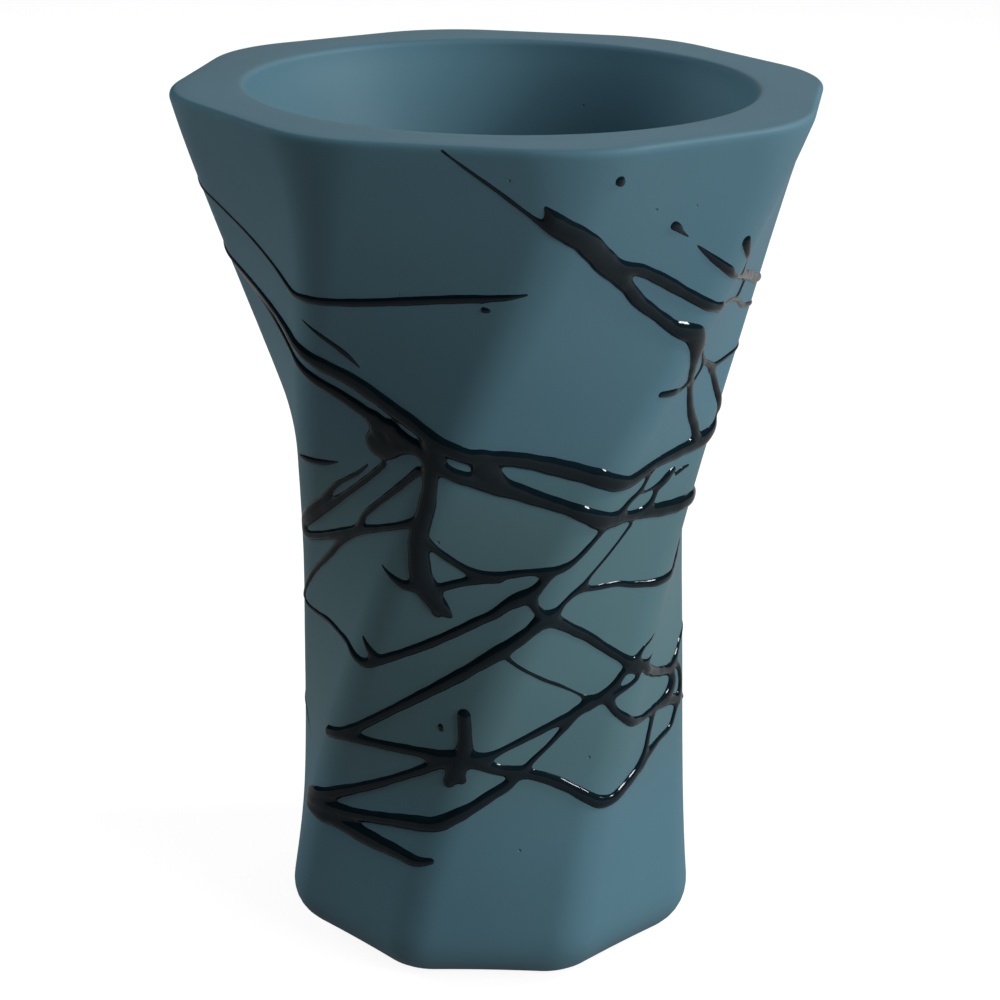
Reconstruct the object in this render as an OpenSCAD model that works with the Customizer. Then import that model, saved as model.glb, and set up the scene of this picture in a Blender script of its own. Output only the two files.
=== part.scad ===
// Twisted eight-sided cast vessel with a round bore, decorated with raised trails of black enamel.
// The foot stands on z = 0, the axis is +Z, and the front of the vessel faces -Y.

/* [Body] */
// Overall height
body_h = 120; // [100:1:160]
// Width across the flats at the mouth
mouth_w = 84.5; // [78:0.5:110]
// Width across the flats at the waist
waist_w = 51; // [46:0.5:62]
// Height of the waist above the foot
waist_h = 48; // [36:1:60]
// Width across the flats at the foot, before its edge is rounded
base_w = 58.5; // [54:0.5:72]
// Number of sides
sides = 8; // [6:1:10]
// Radius of the upright edges at the mouth, which narrows with the body below it
edge_r = 14.5; // [6:0.5:20]
// Angle that the body twists through from foot to mouth, in degrees
twist = 85; // [0:1:120]
// Share of the twist that eases off towards the foot and the mouth
twist_ease = 0.67; // [0:0.01:1]
// Angle of one upright edge at the mouth, in degrees from +X
mouth_turn = 13; // [0:1:44]
// Radius of the rounded edge of the foot
foot_r = 7.5; // [3:0.5:9]
// Radius of the outer edge of the rim
rim_r = 1.2; // [0.6:0.1:3]

/* [Bore] */
// Wall thickness in the middle of a side
wall_t = 8.2; // [5:0.1:10]
// Floor thickness
floor_t = 9; // [5:0.5:14]
// Radius between the floor and the wall
floor_r = 6; // [2:0.5:9]
// Radius of the inner edge of the rim
bore_edge_r = 1; // [0.4:0.1:2]
// Draft of the bore below the waist, in degrees
bore_draft = 1; // [0:0.5:3]

/* [Enamel] */
// Unit width of the trails: a route's own widths are multiples of it
trail_w = 1; // [0.85:0.05:1.2]
// Highest that an enamel trail stands on the body
enamel_rise = 0.65; // [0.5:0.05:1.2]
// Rise of a narrow trail, as a share of its width
narrow_rise = 0.42; // [0.3:0.01:0.5]
// Depth that a trail's edge is let into the body before it is cut to seat on it
edge_sink = 0.15; // [0.05:0.01:0.2]
// Extra rise of the upright stroke, which is laid over the zigzag
cross_lift = 0.4; // [0.3:0.05:0.6]
// Longest straight step along a trail, in widths of the trail
trail_step = 3.4; // [2:0.1:4]

/* [Hidden] */
body_colour = "#4f7585";
enamel_colour = "#15181d";

half_side = 180 / sides;
mouth_r = mouth_w / 2;
waist_r = waist_w / 2;
base_r = base_w / 2;
edge_share = edge_r / mouth_r;
// Half the angle that a rounded upright edge covers, seen from the axis
edge_half = atan2(
    edge_share * sin(half_side),
    (1 - edge_share) / cos(half_side) + edge_share * cos(half_side)
);
edge_steps = 3;
flat_steps = 2;
wall_levels = 20;
foot_levels = 4;
rim_levels = 2;
bore_levels = 14;
arc_step = 15;
bore_facets = 96;
past_rim = 1;
shortest_step = 2.8;
longest_step = 5.4;
narrow_width = 1.3;
narrow_arch_steps = 2;
wide_arch_steps = 3;
least_width = 0.3;
least_rise = 0.36;
root_depth = 0.8;
slope_span = 0.5;

// The heights of the trail routes count in even steps, so many from the foot to the rim
height_steps = 120;

// Trail routes: each point has a bearing around the axis (front 0, right positive), a height in steps
// and a width as a multiple of the trails' unit width
waist_band_runs = [
    [[-98, 101.5, 0.8], [-85, 98.3, 0.9], [-76, 95.8, 1.1], [-58.5, 92.1, 1.6], [-49.5, 89.8, 2.1],
     [-37, 86.8, 2.4], [-31, 84.9, 2.4], [-25.5, 83.1, 2.4], [-20, 81.5, 2.3], [-15, 79.9, 2.4],
     [-10, 78.7, 2.4], [-5, 77.8, 2.4], [5, 77.2, 2.4], [15, 75.9, 2.6], [25, 74.3, 2.7],
     [30, 73.2, 2.6], [33.5, 72.6, 2.5], [37.5, 72.4, 2.2], [44, 73.1, 1.9], [50, 73.6, 1.8],
     [61, 73.8, 2.1], [71, 74.1, 2.4], [82, 75, 2], [105, 77, 1.6], [135, 82, 1.4], [170, 86, 1.6],
     [205, 90, 1.3], [235, 96.5, 1], [262, 101.5, 0.8]]
];
lower_waist_band_runs = [
    [[-80, 96, 0.6], [-72, 93.9, 0.9], [-60, 90.2, 1], [-53, 88, 1.2], [-48, 86.3, 1.6],
     [-40, 83.9, 1.9], [-34.5, 82.2, 2], [-30, 80.9, 2.1], [-25, 79.6, 2.1], [-20, 78.3, 2],
     [-15, 76.6, 2], [-10, 75.2, 2.1], [-5, 74.2, 2.3], [5, 72.6, 2.7], [10, 71.6, 2.3], [20, 69.8, 2.1],
     [25, 68.6, 2.4], [29.5, 67.5, 2.8], [35, 67, 2.3], [40, 66.7, 1.7], [46, 66.5, 1.7],
     [56, 65.9, 2.2], [64, 65.7, 2.2], [76, 65.5, 1.9], [90, 65, 1.4], [115, 63, 1.2],
     [145, 60, 1], [175, 62, 0.6]],
    [[-31.8, 77.6, 3.8], [-29.5, 77.4, 3.6], [-25, 77.9, 2.4], [-20, 78.4, 1.6]],
    [[-31.5, 81.3, 2.2], [-30, 77.8, 3.5]],
    [[-27, 80.4, 2.2], [-26, 78.4, 2.4]],
    [[-15.2, 79, 2.8], [-15, 76.6, 3]],
    [[-3.6, 77.7, 2.6], [-2.2, 75.6, 3.2], [1.2, 73.3, 2.8]],
    [[35, 67, 1.4], [39, 68.9, 1.1], [43.2, 70, 0.9], [45, 71.2, 0.8], [47, 73.2, 0.8]],
    [[46, 66.5, 1.3], [49.8, 67.8, 1.1], [51.2, 69.2, 1.1], [53.1, 69.9, 1.4], [55.7, 70.7, 1.5],
     [58, 71.3, 0.9]],
    [[43.2, 70, 0.4], [46, 69.6, 0.5], [51.2, 69.9, 0.7]],
    [[59.6, 70.4, 0.6], [62, 70.8, 0.8], [65, 71, 0.5]]
];
post_drip_runs = [
    [[-16, 76, 2], [-16.5, 73.2, 2.2], [-17.8, 70, 2.4], [-19.2, 67.6, 2.4], [-20.7, 65, 2.8],
     [-20.9, 62, 2.9], [-20.7, 59.6, 3.2], [-19.3, 57.5, 3], [-17, 55.8, 2.6], [-14.6, 54.6, 1.8],
     [-12.9, 53.9, 0.8]],
    [[-20, 58.4, 2.2], [-25, 58, 1.6], [-29, 58.8, 1], [-33, 60.2, 0.4]]
];
left_net_runs = [
    [[-70.8, 60.4, 1.1], [-69.5, 61.7, 1.4], [-65, 63.5, 1.4], [-60, 65.3, 1.2], [-55, 67.2, 1],
     [-49.5, 69.6, 0.8], [-40.5, 72.4, 0.6], [-36, 74.2, 0.4]],
    [[-71.6, 59.6, 1.1], [-70, 61, 1.3], [-64, 62.8, 1.4], [-56, 65.4, 1.3], [-50.5, 67.2, 1.1],
     [-43.5, 69.6, 0.9], [-36.5, 72.2, 0.9], [-30.5, 74.8, 0.9]],
    [[-63, 71.9, 0.8], [-58, 72.2, 1.1], [-52, 72.6, 1], [-46, 73.4, 0.3]],
    [[-71.6, 59.6, 1.1], [-69, 59.3, 1.3], [-58, 61, 1.4], [-50, 62.5, 1.4], [-43.3, 63.7, 1.3],
     [-32, 65.6, 1.1], [-26, 66.7, 1.1], [-21, 67.8, 1.3]],
    [[-83, 47.8, 0.7], [-77.4, 50.5, 0.9], [-70, 53.8, 0.9], [-59.4, 57.8, 1], [-53.3, 60.3, 1],
     [-48, 62.2, 1], [-43, 64.1, 1], [-39.5, 66.5, 0.9], [-34, 68.8, 0.9], [-27, 71.7, 1],
     [-23, 73.5, 1.1], [-19.5, 75.2, 1.2]]
];
upper_rising_trail_runs = [
    [[-18, 64.8, 1.2], [-15, 63.3, 1.1], [-10.3, 61.6, 1.1], [-6, 60.6, 1.2], [0, 60.1, 1.3],
     [5, 60.5, 1.2], [10, 60.9, 1.1], [15, 61, 1.3], [18.3, 61.3, 1.3], [21.5, 62, 1.1],
     [24.5, 63.2, 1], [28, 64.8, 1], [31, 66.2, 1]],
    [[-17, 57.6, 1.4], [-14.5, 58.2, 1.3], [-10, 58.9, 1.3], [-5.5, 59.4, 1.4], [1, 59.8, 1.2]],
    [[-82, 47.7, 0.6], [-78, 47.1, 0.8], [-72, 47.1, 0.9], [-63, 47.4, 1], [-55.5, 47.1, 1],
     [-48.5, 46.6, 1.1], [-44, 45.5, 1.3], [-40, 45.1, 1.5], [-35.5, 45.9, 1.5], [-30, 47.1, 1.4],
     [-20, 49.4, 1.4], [-10, 52, 1.4], [-5, 53.4, 1.4], [0, 54.7, 1.5], [4, 56.2, 1.7],
     [7.5, 57.2, 2], [11, 58.2, 1.7], [13.2, 59.3, 1.4], [15, 60.5, 1.3]],
    [[-40.8, 48.9, 0.4], [-39, 47.7, 1], [-36.5, 46.5, 1.3]]
];
lower_rising_trail_runs = [
    [[-56, 32.4, 1.8], [-50, 33.2, 1.6], [-45, 34.5, 1.6], [-40, 36.1, 1.4], [-30, 39.3, 1.4],
     [-20, 42.4, 1.6], [-10, 45.5, 1.8], [-5, 47.2, 1.8], [0, 48.9, 2], [5, 50.6, 2],
     [10, 52.4, 1.9], [13, 53.6, 2.2], [16, 54.2, 2.2], [18.5, 55.2, 1.3], [20, 56, 1],
     [22.7, 57, 1.1], [26, 57.8, 1.1], [28.5, 59.2, 0.7], [34, 61.5, 0.6], [38, 63.3, 0.6],
     [42, 65.2, 0.7]],
    [[10.5, 57, 1.5], [11.8, 55.8, 1.1], [14, 54.7, 1.4]],
    [[26, 57.6, 1], [29.7, 57.2, 0.9], [34.6, 57, 0.9], [39.8, 56.8, 0.9], [44.7, 56.2, 1],
     [49.5, 55.8, 1.1], [54.3, 55.5, 1.3], [60, 55.3, 1.4], [66, 55.3, 1.4], [74, 55.8, 1.2],
     [84, 57, 0.9]],
    [[16, 54, 2.2], [19.5, 53, 1.8], [24.5, 51.5, 1.6], [29.8, 50, 1.5], [34.6, 48.3, 1.5],
     [39.6, 46.6, 1.4], [43, 45.4, 1.6], [46, 44.4, 1.6]],
    [[45, 44.8, 1.2], [48.8, 46.4, 0.8], [50.7, 46.8, 0.6], [53, 47.2, 0.5], [56, 47.9, 0.3]],
    [[46, 44.4, 1.4], [49.5, 44.2, 0.9], [52.8, 44.2, 0.6], [56.9, 44.6, 0.3]]
];
foot_zigzag_runs = [
    [[-50.5, 33, 0.8], [-45, 33.2, 1.5], [-35, 33.3, 1.4], [-25, 33.6, 1.5], [-20, 33.7, 1.6],
     [-15, 33.7, 2], [-10, 34, 2], [-5, 34.1, 2], [0, 34.6, 1.3], [5, 35.6, 1.1], [15, 37.5, 1.2],
     [20, 38.4, 1.3], [25, 39.2, 1.4], [31, 40.7, 1.5]],
    [[-66, 21.4, 1.6], [-60, 22.2, 2], [-54, 23.3, 1.9], [-50, 24.3, 1.8], [-45, 25.4, 1.6],
     [-35, 27.7, 1.4], [-25, 30.2, 1.3], [-20, 31.5, 1.5], [-15, 33, 1.7], [-12, 33.9, 1.8]],
    [[-66, 20.5, 1.8], [-60, 20.9, 2.3], [-50, 21.3, 2.2], [-40, 22, 1.8],
     [-30, 22.9, 2], [-20, 23.8, 2.2], [-15, 24.3, 2.3], [-10, 25.6, 2.1], [-5, 27, 1.9],
     [0, 28.6, 1.8], [5, 30, 1.6], [8, 31.6, 1.5]],
    [[-66, 19.6, 1.6], [-59, 19.5, 2.2], [-52.4, 19.6, 2.3], [-39.8, 19, 2.6], [-28.6, 18.7, 2.1],
     [-21, 18.4, 1.7], [-16.4, 18.8, 1]],
    [[-6, 34, 2], [1.6, 32.4, 1.6], [5, 32, 1.7], [10, 31.4, 1.6], [15, 30.7, 1.6],
     [20, 29.7, 1.7], [24.5, 28.5, 1.7], [29, 27.1, 1.8], [32, 26.3, 1.9], [36, 26, 1.9],
     [40.3, 26.4, 1.9], [46, 27.3, 1.8], [51, 28.2, 1.7], [56.5, 29.3, 1.4], [63, 30.2, 1.1],
     [70.2, 30.8, 1], [74, 32.3, 1], [77, 33.8, 1.1]],
    [[9, 31.5, 1.1], [12, 33.1, 0.9], [17, 35.1, 0.8], [20, 36.4, 0.9], [23, 37.7, 1], [26, 39.4, 1.1]]
];
side_loops_runs = [
    [[46, 44.4, 1], [42, 44, 1.2], [39, 42.7, 1.2], [36, 41.7, 1.2], [33.5, 40.9, 1.5],
     [30, 40.2, 1.6]],
    [[46, 44.4, 0.9], [47.3, 43.7, 1], [46.7, 42.5, 0.9], [43.7, 41.9, 0.9], [40, 41.4, 1],
     [36, 40.7, 1.2]],
    [[36, 40.7, 1.3], [38, 38.9, 1.3], [41, 37.6, 1.4], [45.3, 36.2, 1.5], [51, 35.5, 1.3],
     [55.5, 35.4, 1.2], [61, 35.3, 1.2], [66, 35.3, 1.6], [70, 35.6, 2], [73, 36.4, 2.2],
     [74.5, 37.5, 2], [74, 39, 1.6]],
    [[46, 44.4, 1.1], [49.7, 43.8, 1.6], [53.5, 42.6, 1.7], [60.5, 40.9, 1.6], [68, 39.7, 1.5],
     [73.6, 39.1, 1.6], [77, 39.5, 1.4], [80, 40.5, 1.1], [83.5, 41.8, 0.8], [89, 42.6, 0.6],
     [100, 43, 0.8]],
    [[77, 39.5, 1.2], [80, 38.2, 1.2], [80.3, 36.3, 1.2], [79, 34.7, 1.2], [77, 33.8, 1.2]],
    [[64, 35.3, 1], [71, 34.8, 1.6], [77, 33.8, 1.4]],
    [[51, 28.2, 1.3], [54.6, 30.2, 1.2], [57, 32.5, 1.2], [60.2, 35.3, 1.2]]
];
hair_trail_runs = [
    [[4.5, 48.5, 0.6], [8, 47.2, 0.6], [15, 45, 0.6], [20, 43.8, 0.6], [25, 42.5, 0.5],
     [29.5, 41.2, 0.5]]
];
cross_stroke_runs = [
    [[-8.2, 40.1, 2], [-7.9, 38.6, 2], [-7.6, 36.5, 2.1], [-8, 34.8, 2.3], [-9.2, 33.2, 2.4],
     [-10.5, 31.8, 2.3], [-12, 30.6, 1.8]],
    [[-10, 31.8, 1.8], [-8.2, 31, 1.2]]
];
rim_fork_trail_runs = [
    [[-9.5, 119.5, 0.5], [-5, 117, 0.6], [0, 114.4, 0.7], [5, 111.7, 0.7], [8.5, 110, 1],
     [15, 108, 1]],
    [[7.3, 113, 0.4], [8.3, 112, 1.4], [10, 110.4, 2.8], [15, 108, 3.2], [20, 104.8, 3],
     [23, 103.6, 2.6], [27.5, 103.2, 1.8], [30, 102.6, 1.8], [35, 101, 1.8], [40.5, 99, 1.7],
     [47.5, 96.6, 1.6], [52.5, 95.7, 1.4]],
    [[20, 104.8, 2.8], [24, 102.4, 2.4], [26.5, 100.8, 2], [30, 98.6, 1.9], [34, 96.8, 1.8],
     [37, 95.5, 1.8], [40, 94.2, 2], [45.5, 92.7, 3.1], [48.5, 90.5, 3.1], [50, 88.6, 2.4],
     [51.5, 86.8, 1.8], [53.5, 84.9, 1.4], [60.1, 79.7, 1.6], [64.6, 76.9, 1.8], [67.4, 74.4, 1.6]],
    [[39.9, 84.9, 0.9], [44, 84.6, 1.2], [48.8, 84.3, 0.9], [53.5, 84.9, 0.8]],
    [[45.5, 92.7, 0.9], [53.5, 89.5, 0.7], [58, 87.2, 0.7], [66, 85, 1.2], [71, 82.5, 1.4],
     [78, 78, 1.4], [84, 75.2, 1.2]],
    [[58, 87.2, 0.7], [58.5, 86, 0.8], [56.5, 84.6, 0.7]],
    [[66.5, 84.8, 1], [72.1, 84.8, 0.9], [79.5, 85, 0.8], [90, 85.5, 0.7], [100, 86.5, 0.5]]
];
rim_side_drips_runs = [
    [[34, 108.6, 1.3], [35, 108.2, 1.2], [36.5, 107.4, 0.6], [38.2, 106.7, 0.4]],
    [[40, 105.7, 0.3], [44, 103.8, 0.9], [47.8, 102.1, 1.3], [51, 100.8, 1.3], [53, 100, 0.9],
     [58, 99, 0.7], [62.1, 98.5, 1], [67, 97.8, 1.4], [78.4, 96, 1.6], [86.5, 94.4, 1.4], [100, 93, 1]],
    [[52.6, 104.8, 1.6], [55, 103, 1.2], [58.3, 101.4, 0.6], [61, 99.7, 0.6], [62.1, 98.5, 0.8]],
    [[52.5, 95.7, 1], [61.5, 95.1, 0.8], [69.4, 94.1, 0.8], [80.5, 91.5, 0.9], [98, 90, 0.6]],
    [[70, 97.4, 0.8], [69.3, 95.2, 0.9], [68.2, 94.3, 0.8]]
];
shoulder_trail_runs = [
    [[-112, 113, 0.5], [-95, 110.5, 0.6], [-78, 107.2, 0.7], [-70, 105, 0.7], [-60, 102.3, 0.8],
     [-52, 99.8, 0.9], [-47, 98, 1.1], [-43, 97.5, 1.2], [-30, 98, 1.3], [-10, 99.7, 1.3],
     [0, 100.5, 1], [5.5, 101.2, 0.4]],
    [[-44.5, 94.3, 0.4], [-40, 92.5, 0.8], [-35.5, 90.3, 0.9], [-32.7, 88.5, 0.4]]
];
back_upper_web_runs = [
    [[100, 93, 1], [112, 98, 1.1], [124, 102.5, 1.3], [140, 103, 1.4], [158, 96, 1.2], [176, 87, 1.2]],
    [[140, 103, 1], [165, 107, 0.9], [190, 112, 0.5]],
    [[215, 110, 0.6], [222, 102, 1.2], [228, 94.5, 1]]
];
back_middle_web_runs = [
    [[100, 43, 0.8], [112, 46.5, 1.1], [130, 53, 1.1], [146, 60, 1]],
    [[182, 87, 1.2], [192, 74, 1.4], [204, 63, 1.4], [226, 55, 1.2], [248, 52, 0.9], [262, 50.5, 0.5]],
    [[204, 63, 1.2], [230, 64, 1], [252, 60.5, 0.9], [266, 58.6, 0.5]],
    [[130, 53, 0.9], [160, 46, 1.1], [196, 42, 1.2], [234, 44, 1], [258, 46.5, 0.5]]
];
back_foot_web_runs = [
    [[79, 34.7, 0.8], [87, 32, 0.7], [104, 30, 1.2], [130, 23, 1.6], [158, 21, 1.8],
     [190, 26, 1.6], [207.5, 23.8, 1.7], [222, 22, 1.6], [240, 21, 0.8]],
    [[130, 24, 1], [152, 33, 1.1], [176, 44, 1]],
    [[222, 22, 1.1], [236, 33, 1.2], [246, 45, 1]],
    [[236, 33, 0.9], [250, 31.4, 0.7], [263.5, 29.6, 0.6], [272.4, 27.4, 0.5], [284, 26.4, 0.3]]
];
drops_runs = [
    [[19.6, 115.8, 1.4], [20.1, 115.4, 1]],
    [[-2.8, 98.7, 0.9], [-1.8, 98.7, 0.7]],
    [[-15.4, 38, 0.9], [-15, 37.5, 0.7]],
    [[-17.5, 54.1, 0.6], [-16.8, 53.8, 0.5]],
    [[150, 112, 1.2], [150.5, 111.5, 0.9]],
    [[200, 100, 1], [201, 99.5, 0.8]],
    [[170, 12, 0.9], [171, 12, 0.7]]
];

// Trails in the order they are laid: each seats against those laid before it
LAID = [
    ["waist_band", waist_band_runs],
    ["lower_waist_band", lower_waist_band_runs],
    ["post_drip", post_drip_runs],
    ["left_net", left_net_runs],
    ["upper_rising_trail", upper_rising_trail_runs],
    ["lower_rising_trail", lower_rising_trail_runs],
    ["foot_zigzag", foot_zigzag_runs],
    ["side_loops", side_loops_runs],
    ["hair_trail", hair_trail_runs],
    ["cross_stroke", cross_stroke_runs],
    ["rim_fork_trail", rim_fork_trail_runs],
    ["rim_side_drips", rim_side_drips_runs],
    ["shoulder_trail", shoulder_trail_runs],
    ["back_upper_web", back_upper_web_runs],
    ["back_middle_web", back_middle_web_runs],
    ["back_foot_web", back_foot_web_runs],
    ["drops", drops_runs]
];

// Half width across the flats at a height: a hyperbola above the waist and another below it
function flat_r(z) =
    let (rise = max(0, z - waist_h) / (body_h - waist_h), fall = max(0, waist_h - z) / waist_h)
    sqrt(waist_r ^ 2 + (mouth_r ^ 2 - waist_r ^ 2) * rise ^ 2 + (base_r ^ 2 - waist_r ^ 2) * fall ^ 2);

// Angle of an upright edge at a height
function turn(z) =
    let (share = z / body_h, eased = 3 * share ^ 2 - 2 * share ^ 3)
    mouth_turn - twist * (1 - (1 - twist_ease) * share - twist_ease * eased);

// How far the rounded edges of the foot and the rim draw the wall in
function drawn_in(z) =
    z < foot_r ? foot_r - sqrt(foot_r ^ 2 - (foot_r - z) ^ 2) :
    z > body_h - rim_r ? rim_r - sqrt(max(0, rim_r ^ 2 - (z - body_h + rim_r) ^ 2)) : 0;

// Distance from the axis to the outer face, at an angle from the nearest upright edge
function reach(from_edge, z) =
    let (r = flat_r(z), e = r * edge_share, core = (r - e) / cos(half_side))
    (abs(from_edge) > edge_half ?
        r / cos(half_side - abs(from_edge)) :
        core * cos(from_edge) + sqrt(e ^ 2 - (core * sin(from_edge)) ^ 2)) - drawn_in(z);

function wrap(angle) = angle - 2 * half_side * round(angle / (2 * half_side));
function on_wall(angle, z) =
    let (r = reach(wrap(angle - turn(z)), z))
    [r * cos(angle), r * sin(angle), z];

// Angles around one side: the rounded edge, then the flat
side_angles = concat(
    [for (i = [0 : edge_steps]) edge_half * (2 * i / edge_steps - 1)],
    [for (i = [1 : flat_steps - 1]) edge_half + (2 * half_side - 2 * edge_half) * i / flat_steps]
);
ring_size = sides * len(side_angles);
levels = concat(
    [for (i = [0 : foot_levels]) foot_r * (1 - cos(90 * i / foot_levels))],
    [for (i = [1 : wall_levels]) foot_r + (body_h - rim_r - foot_r) * i / wall_levels],
    [for (i = [1 : rim_levels]) body_h - rim_r * (1 - sin(90 * i / rim_levels))]
);

module vessel_form() {
    points = [
        for (z = levels, k = [0 : sides - 1], a = side_angles)
            on_wall(turn(z) + 2 * half_side * k + a, z)
    ];
    top = (len(levels) - 1) * ring_size;
    walls = [
        for (i = [0 : len(levels) - 2], j = [0 : ring_size - 1])
            let (a = i * ring_size + j, b = i * ring_size + (j + 1) % ring_size)
            each [[a, a + ring_size, b + ring_size], [a, b + ring_size, b]]
    ];
    foot_face = [for (j = [0 : ring_size - 1]) j];
    rim_face = [for (j = [ring_size - 1 : -1 : 0]) top + j];
    polyhedron(points, concat(walls, [foot_face, rim_face]), convexity = 6);
}

// Half width of the bore: it keeps the wall thickness above the waist and runs in with a draft below it
function bore_r(z) = flat_r(max(z, waist_h)) - wall_t - max(0, waist_h - z) * tan(bore_draft);

module bore() {
    floor_reach = bore_r(floor_t + floor_r);
    lip_z = body_h - bore_edge_r;
    lip_r = bore_r(lip_z);
    rise = lip_z - waist_h;
    rotate_extrude($fn = bore_facets)
        polygon(concat(
            [[0, floor_t]],
            [for (a = [0 : arc_step : 90])
                [floor_reach - floor_r * (1 - sin(a)), floor_t + floor_r * (1 - cos(a))]],
            [for (i = [0 : bore_levels]) let (z = waist_h + rise * i / bore_levels) [bore_r(z), z]],
            [for (a = [arc_step : arc_step : 90])
                [lip_r + bore_edge_r * (1 - cos(a)), lip_z + bore_edge_r * sin(a)]],
            [[lip_r + bore_edge_r, body_h + past_rim], [0, body_h + past_rim]]
        ));
}

// Place of a route point on the wall, and the wall's outward direction there
function height(p) = body_h * p[1] / height_steps;
function width(p) = max(trail_w * p[2], least_width);
function spot(p) = on_wall(p[0] - 90, height(p));
function seat(q) = on_wall(atan2(q.y, q.x), q.z);
function unit(v) = v / norm(v);
function facing(p) =
    let (angle = p[0] - 90, z = height(p))
    unit(cross(
        on_wall(angle + slope_span, z) - on_wall(angle - slope_span, z),
        on_wall(angle, z + slope_span) - on_wall(angle, z - slope_span)
    ));

// Smooth route through hand-set points, in shorter steps where the trail is narrow
function blend(a, b, c, d, t) =
    (2 * b + (c - a) * t + (2 * a - 5 * b + 4 * c - d) * t ^ 2 + (3 * b - a - 3 * c + d) * t ^ 3) / 2;
function route(run) =
    let (last = len(run) - 1)
    concat([
        for (i = [0 : last - 1])
            let (
                narrow = min(width(run[i]), width(run[i + 1])),
                step = min(max(narrow * trail_step, shortest_step), longest_step),
                steps = ceil(norm(spot(run[i + 1]) - spot(run[i])) / step)
            )
            for (s = [0 : steps - 1])
                blend(run[max(i - 1, 0)], run[i], run[i + 1], run[min(i + 2, last)], s / steps)
    ], [run[last]]);

function heading(path, i) = unit(spot(path[min(i + 1, len(path) - 1)]) - spot(path[max(i - 1, 0)]));

// Arched section of a trail, square to its route, with a root inside the wall
function section(path, i, lift) =
    let (
        here = spot(path[i]),
        out = facing(path[i]),
        side = unit(cross(out, heading(path, i))),
        half = width(path[i]) / 2,
        rise = min(max(2 * half * narrow_rise, least_rise), enamel_rise) + lift,
        arch_steps = 2 * half < narrow_width ? narrow_arch_steps : wide_arch_steps
    )
    concat(
        [for (k = [0 : arch_steps]) let (a = 180 * k / arch_steps)
            seat(here + side * half * cos(a)) + out * (rise * sin(a) - edge_sink)],
        [here - out * root_depth]
    );

// Point where a trail runs out on the wall, ahead of its last section or behind its first
function tip(path, i, way) =
    [seat(spot(path[i]) + heading(path, i) * width(path[i]) / 2 * way) - facing(path[i]) * edge_sink];

module fill(points) {
    hull() polyhedron(points, [[for (i = [0 : len(points) - 1]) i]]);
}

module runs(list, lift = 0) {
    for (run = list) {
        path = route(run);
        last = len(path) - 1;
        fill(concat(tip(path, 0, -1), section(path, 0, lift)));
        for (i = [0 : last - 1]) fill(concat(section(path, i, lift), section(path, i + 1, lift)));
        fill(concat(section(path, last, lift), tip(path, last, 1)));
    }
}

// A trail as laid: cut to seat on the wall and against the trails laid before it
module trail(name, lift = 0) {
    order = search([name], LAID)[0];
    color(enamel_colour) difference() {
        runs(LAID[order][1], lift);
        vessel_form();
        for (earlier = [0 : 1 : order - 1]) runs(LAID[earlier][1]);
    }
}

module body() {
    color(body_colour) difference() {
        vessel_form();
        bore();
    }
}
module waist_band() trail("waist_band");
module lower_waist_band() trail("lower_waist_band");
module post_drip() trail("post_drip");
module left_net() trail("left_net");
module upper_rising_trail() trail("upper_rising_trail");
module lower_rising_trail() trail("lower_rising_trail");
module foot_zigzag() trail("foot_zigzag");
module side_loops() trail("side_loops");
module hair_trail() trail("hair_trail");
module cross_stroke() trail("cross_stroke", cross_lift);
module rim_fork_trail() trail("rim_fork_trail");
module rim_side_drips() trail("rim_side_drips");
module shoulder_trail() trail("shoulder_trail");
module back_upper_web() trail("back_upper_web");
module back_middle_web() trail("back_middle_web");
module back_foot_web() trail("back_foot_web");
module drops() trail("drops");

body();
waist_band();
lower_waist_band();
post_drip();
left_net();
upper_rising_trail();
lower_rising_trail();
foot_zigzag();
side_loops();
hair_trail();
cross_stroke();
rim_fork_trail();
rim_side_drips();
shoulder_trail();
back_upper_web();
back_middle_web();
back_foot_web();
drops();
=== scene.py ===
"""Looks of a twisted, eight-sided cast vase with raised trails of black enamel."""
import math

import bmesh
import bpy
import numpy as np
from mathutils import Matrix, Vector


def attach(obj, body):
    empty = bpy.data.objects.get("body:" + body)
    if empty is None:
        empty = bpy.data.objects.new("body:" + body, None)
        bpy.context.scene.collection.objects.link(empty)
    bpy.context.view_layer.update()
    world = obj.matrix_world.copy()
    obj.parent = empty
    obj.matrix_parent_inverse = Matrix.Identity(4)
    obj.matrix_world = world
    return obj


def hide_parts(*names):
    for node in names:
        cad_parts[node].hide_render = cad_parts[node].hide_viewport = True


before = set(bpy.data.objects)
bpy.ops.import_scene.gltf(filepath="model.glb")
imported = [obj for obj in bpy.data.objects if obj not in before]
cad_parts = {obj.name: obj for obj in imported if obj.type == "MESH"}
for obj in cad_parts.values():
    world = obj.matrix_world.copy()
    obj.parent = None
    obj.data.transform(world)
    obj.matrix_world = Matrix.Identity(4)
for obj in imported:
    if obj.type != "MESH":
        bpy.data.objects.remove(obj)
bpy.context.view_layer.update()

MM = 0.001

# Sizes of the vessel in millimetres
BODY_H = 120
MOUTH_R = 42.25
WAIST_R = 25.5
WAIST_H = 48
BASE_R = 29.25
SIDES = 8
MOUTH_EDGE_R = 21
WALL_EDGE_R = 8.5
TWIST = 81
TWIST_EASE = 0.9
MOUTH_TURN = 13
FOOT_R = 7.5
RIM_R = 1.2
WALL_T = 8.2
FLOOR_T = 9
FLOOR_R = 6
BORE_EDGE_R = 1
BORE_DRAFT = 1

# How finely the vessel is turned: steps around it, and along each stretch of its profile
RING_STEPS = 240
FOOT_STEPS = 10
WALL_STEPS = 96
RIM_STEPS = 6
FLAT_STEPS = 4
BORE_STEPS = 48

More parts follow.
